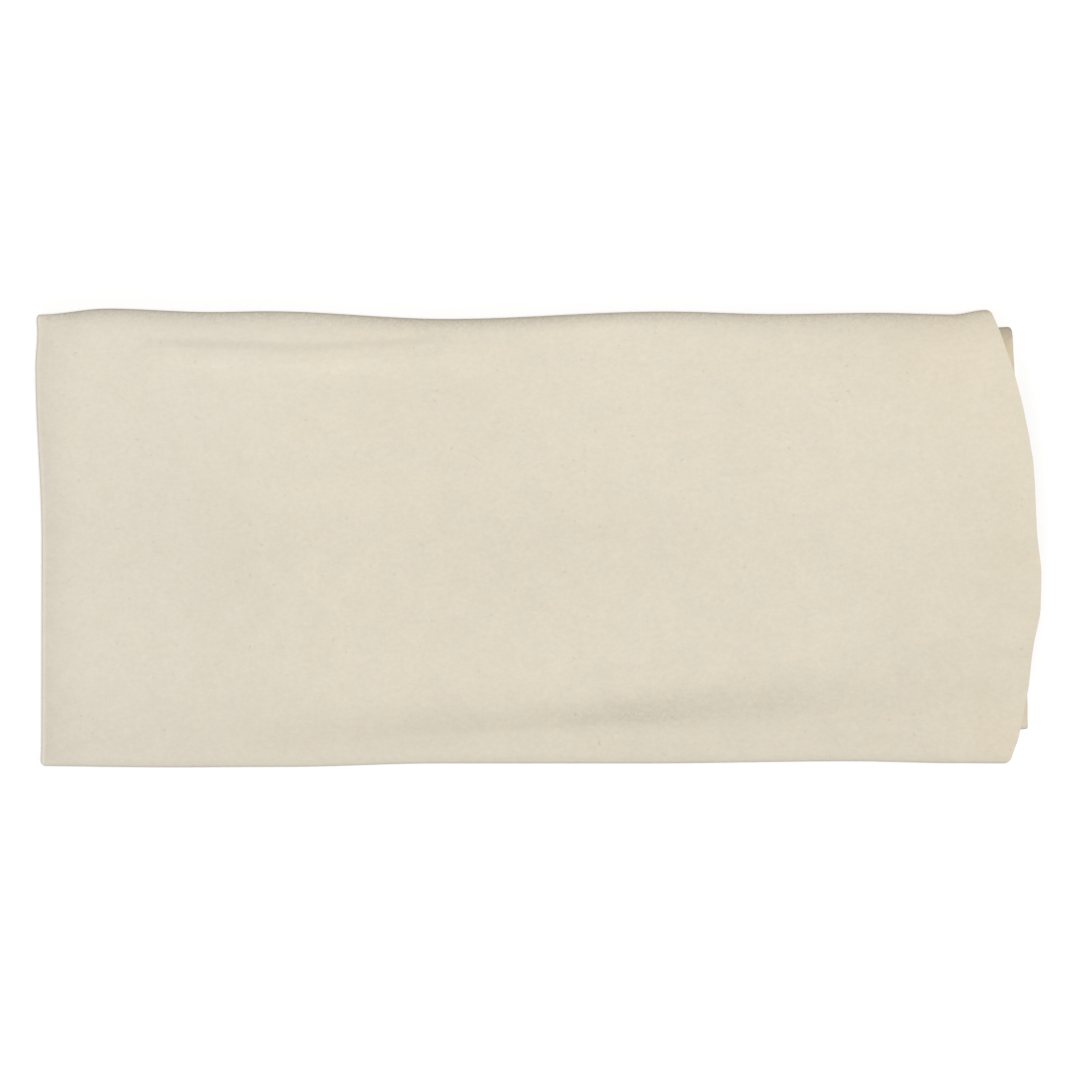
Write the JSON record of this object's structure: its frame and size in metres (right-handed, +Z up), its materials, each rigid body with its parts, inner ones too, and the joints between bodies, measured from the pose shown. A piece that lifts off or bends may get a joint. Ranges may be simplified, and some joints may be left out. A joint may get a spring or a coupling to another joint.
{
  "type": "chamois leather",
  "caption": "Soft undyed chamois skin for drying and polishing, folded lengthwise and doubled over into a flat strip that opens at its crosswise fold.",
  "frame": {"origin": "middle of the folded strip's box on the surface it lies on", "axes": "+X along the strip from the crosswise fold to the cut ends, +Y towards the back fold, +Z up through the layers"},
  "size_m": [0.3754, 0.1713, 0.0114],
  "materials": {
    "chamois": "soft brushed nap, matte, cream"
  },
  "bodies": {
    "lower_half": {"lower_panel": "chamois", "lower_back_fold": "chamois", "lower_back_flap": "chamois", "lower_front_fold": "chamois", "lower_front_flap": "chamois", "left_panel_bend": "chamois", "left_back_flap_bend": "chamois", "left_front_flap_bend": "chamois", "left_back_corner": "chamois", "left_front_corner": "chamois"},
    "upper_half": {"upper_panel": "chamois", "upper_back_fold": "chamois", "upper_back_flap": "chamois", "upper_front_fold": "chamois", "upper_front_flap": "chamois"}
  },
  "joints": [
    {"name": "half_fold", "type": "hinge", "parent": "lower_half", "child": "upper_half", "pos_m": [-0.1881, 0, 0.0057], "axis": [0, -1, 0], "range_deg": [0, 179.9], "deforming": ["left_panel_bend", "left_back_flap_bend", "left_front_flap_bend", "left_back_corner", "left_front_corner"]}
  ]
}
